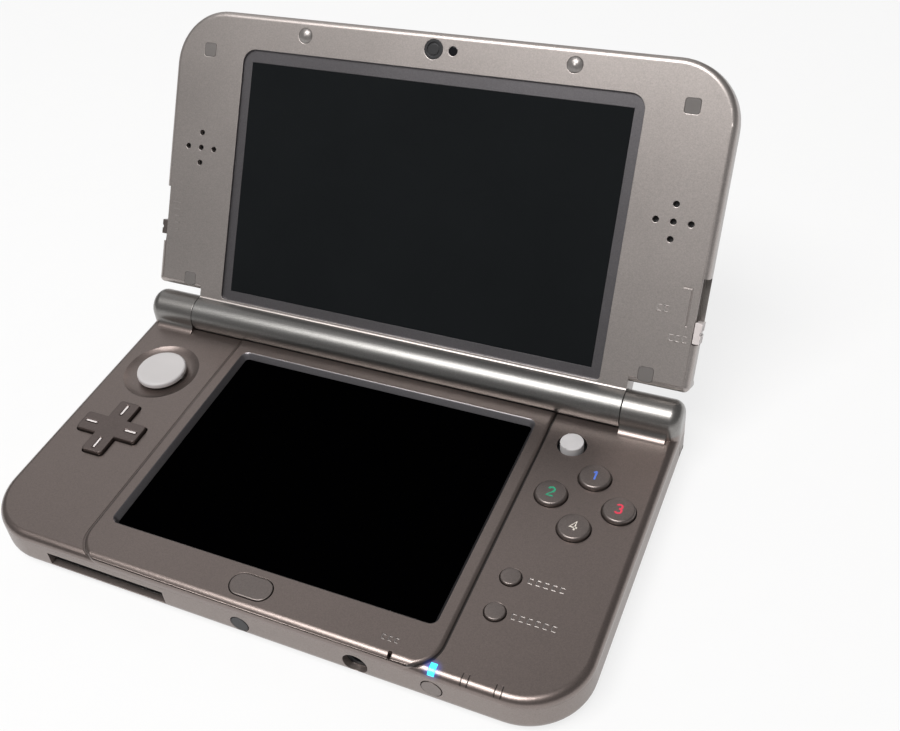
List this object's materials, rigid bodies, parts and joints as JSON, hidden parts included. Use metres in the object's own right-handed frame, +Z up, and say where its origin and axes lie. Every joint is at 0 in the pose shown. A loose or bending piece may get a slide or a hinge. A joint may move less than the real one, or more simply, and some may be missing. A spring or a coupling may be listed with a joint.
{
  "type": "clamshell handheld game console",
  "caption": "Folding handheld game console with a display in each half, barrel hinge, thumb pad, cross pad, round buttons and sliding knobs, shown open.",
  "frame": {"origin": "centre of the flat underside of the lower half", "axes": "+X to the player's right along the hinge, +Y away from the player towards the hinge, +Z up; the lid stands open as in the picture"},
  "size_m": [0.1607, 0.139, 0.0898],
  "materials": {
    "base_metal": "warm metallic lacquer",
    "lower_metal": "warm metallic lacquer",
    "cover": "satin lacquer",
    "screw": "blackened steel",
    "touch_panel": "dark glass",
    "display": "dark display",
    "board": "green lacquer",
    "battery": "dark plastic case",
    "steel": "folded sheet",
    "black": "black plastic",
    "smoked": "dark translucent plastic",
    "lamp_on": "lit clear plastic",
    "lamp_off": "unlit clear plastic",
    "pale": "pale plastic",
    "rubber": "silicone",
    "key": "warm metallic lacquer",
    "nub": "pale soft cap",
    "stylus": "warm grey plastic",
    "lid_metal": "light metallic lacquer",
    "shell_metal": "light metallic lacquer",
    "window": "dark glass",
    "cable": "amber film",
    "lens": "black glass and ring",
    "dome": "soft rubber",
    "pad": "soft grey rubber",
    "depth_knob": "pale plastic"
  },
  "bodies": {
    "base": {"base_upper": "base_metal", "base_lower": "lower_metal", "battery_cover": "cover", "cover_screws": "screw", "shell_screws": "screw", "touch_panel": "touch_panel", "lower_display": "display", "main_board": "board", "battery": "battery", "card_reader": "steel", "headphone_jack": "black", "charge_port": "black", "ir_window": "smoked", "microphone": "black", "led_lit": "lamp_on", "led_spare": "lamp_off", "pad_module": "black", "cross_membrane": "rubber", "button_membrane": "rubber", "nub_module": "black", "hinge_cartridge": "steel"},
    "lid": {"lid_inner": "lid_metal", "lid_outer": "shell_metal", "upper_window": "window", "upper_display": "display", "display_flex": "cable", "speaker_left": "black", "speaker_right": "black", "inner_camera": "lens", "infrared_lamp": "lens", "outer_cameras": "lens", "rubber_domes": "dome", "screw_covers": "pad", "lid_screws": "screw", "hinge_key": "steel", "hinge_bush": "black"},
    "pad_carriage": {"pad_carriage": "pale"},
    "circle_pad": {"circle_pad": "pale"},
    "cross_pivot": {"cross_pivot": "rubber"},
    "cross_pad": {"cross_pad": "key"},
    "nub_stem": {"nub_stem": "steel"},
    "nub_cap": {"nub_cap": "nub"},
    "button_upper": {"button_upper": "key"},
    "button_left": {"button_left": "key"},
    "button_right": {"button_right": "key"},
    "button_lower": {"button_lower": "key"},
    "start_key": {"start_key": "key"},
    "select_key": {"select_key": "key"},
    "home_key": {"home_key": "key"},
    "power_button": {"power_button": "key"},
    "shoulder_left": {"shoulder_left": "key"},
    "shoulder_right": {"shoulder_right": "key"},
    "trigger_left": {"trigger_left": "key"},
    "trigger_right": {"trigger_right": "key"},
    "stylus": {"stylus": "stylus"},
    "volume_knob": {"volume_knob": "key"},
    "depth_knob": {"depth_knob": "depth_knob"}
  },
  "joints": [
    {"name": "lid_hinge", "type": "hinge", "parent": "base", "child": "lid", "pos_m": [0, 0.0416, 0.0143], "axis": [-1, 0, 0], "range_deg": [-121.1, 33.9]},
    {"name": "pad_x", "type": "slide", "parent": "base", "child": "pad_carriage", "axis": [1, 0, 0], "range_m": [-0.002, 0.002], "stiffness_N_per_m": 200},
    {"name": "pad_y", "type": "slide", "parent": "pad_carriage", "child": "circle_pad", "axis": [0, 1, 0], "range_m": [-0.002, 0.002], "stiffness_N_per_m": 200},
    {"name": "cross_tip_x", "type": "hinge", "parent": "base", "child": "cross_pivot", "pos_m": [-0.06425, -0.007, 0.0093], "axis": [1, 0, 0], "range_deg": [-1.8, 1.8], "stiffness_Nm_per_rad": 0.2},
    {"name": "cross_tip_y", "type": "hinge", "parent": "cross_pivot", "child": "cross_pad", "pos_m": [-0.06425, -0.007, 0.0093], "axis": [0, 1, 0], "range_deg": [-1.8, 1.8], "stiffness_Nm_per_rad": 0.2},
    {"name": "nub_tip_x", "type": "hinge", "parent": "base", "child": "nub_stem", "pos_m": [0.0558, 0.0264, 0.00935], "axis": [1, 0, 0], "range_deg": [-2, 2], "stiffness_Nm_per_rad": 0.3},
    {"name": "nub_tip_y", "type": "hinge", "parent": "nub_stem", "child": "nub_cap", "pos_m": [0.0558, 0.0264, 0.00935], "axis": [0, 1, 0], "range_deg": [-2, 2], "stiffness_Nm_per_rad": 0.3},
    {"name": "button_upper_press", "type": "slide", "parent": "base", "child": "button_upper", "axis": [0, 0, -1], "range_m": [0, 0.0007], "stiffness_N_per_m": 1000},
    {"name": "button_left_press", "type": "slide", "parent": "base", "child": "button_left", "axis": [0, 0, -1], "range_m": [0, 0.0007], "stiffness_N_per_m": 1000},
    {"name": "button_right_press", "type": "slide", "parent": "base", "child": "button_right", "axis": [0, 0, -1], "range_m": [0, 0.0007], "stiffness_N_per_m": 1000},
    {"name": "button_lower_press", "type": "slide", "parent": "base", "child": "button_lower", "axis": [0, 0, -1], "range_m": [0, 0.0007], "stiffness_N_per_m": 1000},
    {"name": "start_key_press", "type": "slide", "parent": "base", "child": "start_key", "axis": [0, 0, -1], "range_m": [0, 0.0005], "stiffness_N_per_m": 1500},
    {"name": "select_key_press", "type": "slide", "parent": "base", "child": "select_key", "axis": [0, 0, -1], "range_m": [0, 0.0005], "stiffness_N_per_m": 1500},
    {"name": "home_press", "type": "slide", "parent": "base", "child": "home_key", "axis": [0, 0, -1], "range_m": [0, 0.0005], "stiffness_N_per_m": 1500},
    {"name": "power_press", "type": "slide", "parent": "base", "child": "power_button", "axis": [0, 1, 0], "range_m": [0, 0.0005], "stiffness_N_per_m": 2000},
    {"name": "shoulder_left_press", "type": "slide", "parent": "base", "child": "shoulder_left", "axis": [0, -1, 0], "range_m": [0, 0.0007], "stiffness_N_per_m": 1500},
    {"name": "shoulder_right_press", "type": "slide", "parent": "base", "child": "shoulder_right", "axis": [0, -1, 0], "range_m": [0, 0.0007], "stiffness_N_per_m": 1500},
    {"name": "trigger_left_press", "type": "slide", "parent": "base", "child": "trigger_left", "axis": [0, -1, 0], "range_m": [0, 0.0007], "stiffness_N_per_m": 1500},
    {"name": "trigger_right_press", "type": "slide", "parent": "base", "child": "trigger_right", "axis": [0, -1, 0], "range_m": [0, 0.0007], "stiffness_N_per_m": 1500},
    {"name": "stylus_slide", "type": "slide", "parent": "base", "child": "stylus", "axis": [0, -1, 0], "range_m": [0, 0.08]},
    {"name": "volume_slide", "type": "slide", "parent": "lid", "child": "volume_knob", "axis": [0, 0.5165, 0.8563], "range_m": [-0.002, 0.01]},
    {"name": "depth_slide", "type": "slide", "parent": "lid", "child": "depth_knob", "axis": [0, 0.5165, 0.8563], "range_m": [0, 0.0104]}
  ]
}
